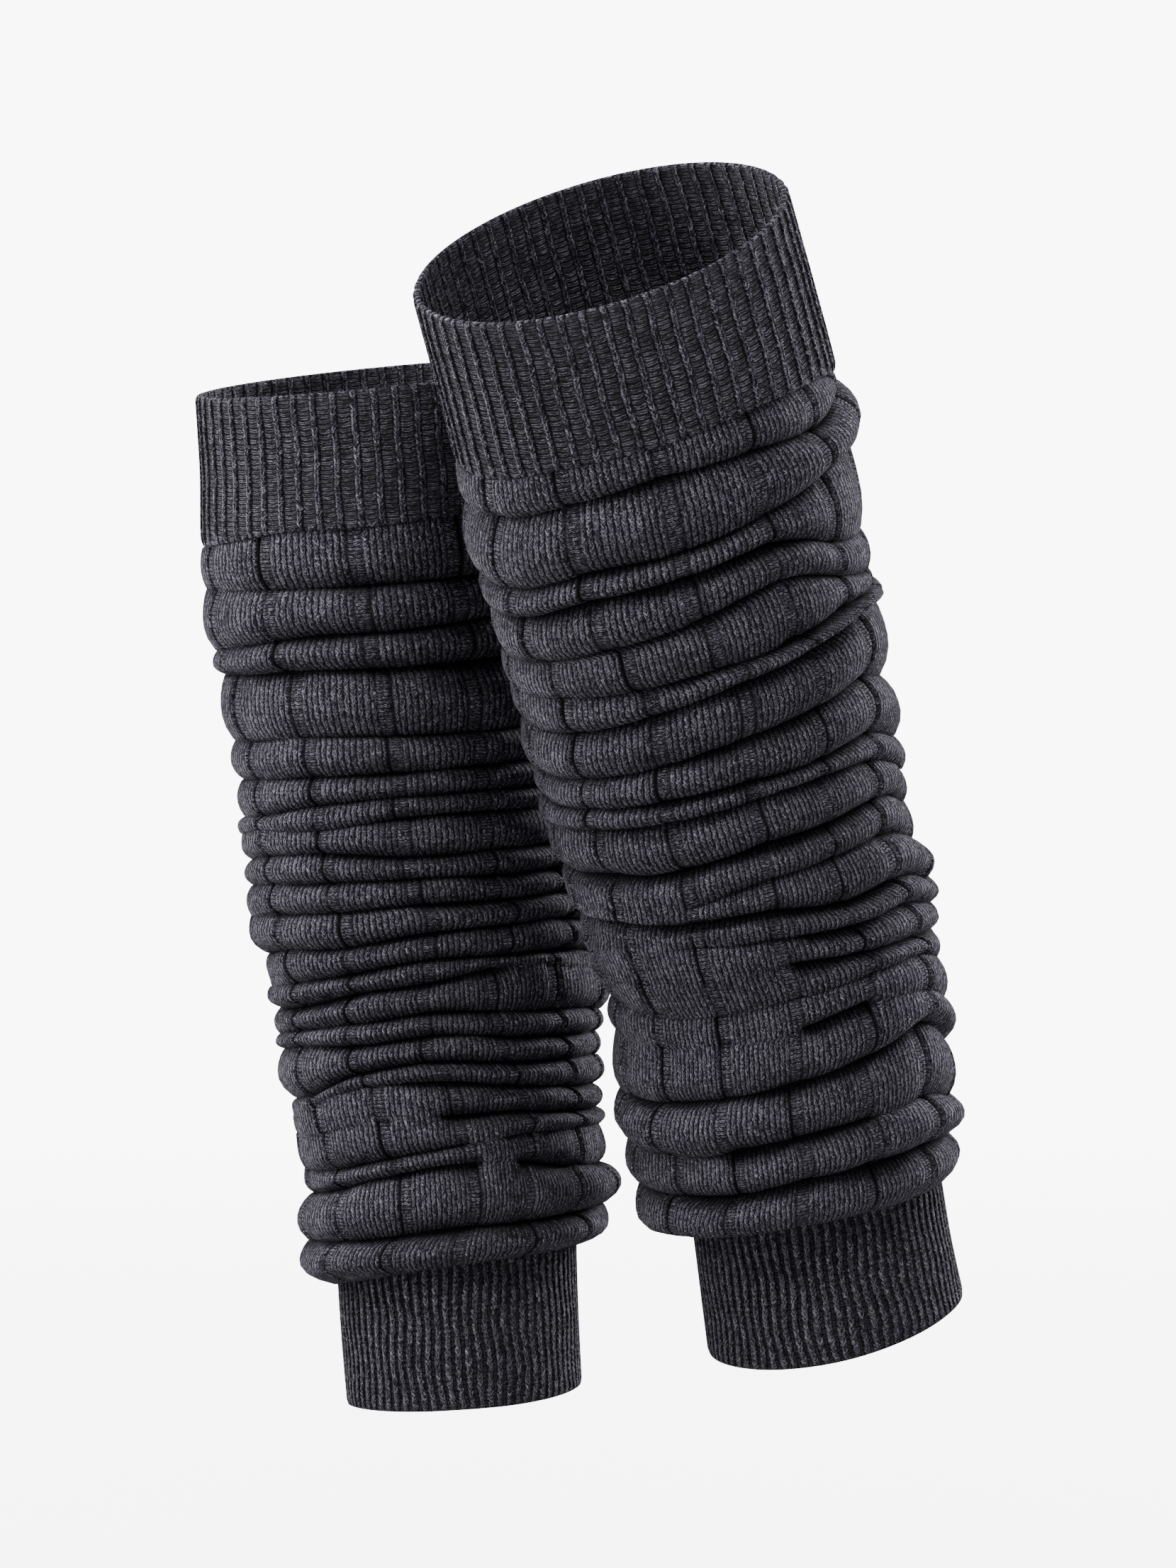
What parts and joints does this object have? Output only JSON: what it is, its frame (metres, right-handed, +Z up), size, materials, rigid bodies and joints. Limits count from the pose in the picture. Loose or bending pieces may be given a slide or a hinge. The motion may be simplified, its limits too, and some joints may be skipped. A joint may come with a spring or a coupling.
{
  "type": "pair of leg warmers",
  "caption": "Pair of slouched knitted leg warmers in their worn, hollow form: ribbed upper cuffs, panelled legs in soft rolls and narrow ribbed lower cuffs.",
  "frame": {"origin": "on the wearer's leg axis in the middle of the front leg warmer's upper cuff, where that cuff holds on", "axes": "+Z up, -Y the side the wearer faces, +X to the right seen from the front; the front leg warmer is the one at +X"},
  "size_m": [0.2508, 0.2553, 0.4006],
  "materials": {
    "upper_cuff_wool": "charcoal melange wool in a stretched ladder rib: matte, slightly fuzzy",
    "leg_wool": "charcoal melange wool in fine plain knit with sunken purl columns: matte, slightly fuzzy",
    "lower_cuff_wool": "charcoal melange wool in one-by-one rib with a dense hem: matte, slightly fuzzy"
  },
  "bodies": {
    "root": {"front_upper_cuff": "upper_cuff_wool", "front_leg": "leg_wool", "front_lower_cuff": "lower_cuff_wool", "rear_upper_cuff": "upper_cuff_wool", "rear_leg": "leg_wool", "rear_lower_cuff": "lower_cuff_wool"}
  },
  "joints": []
}
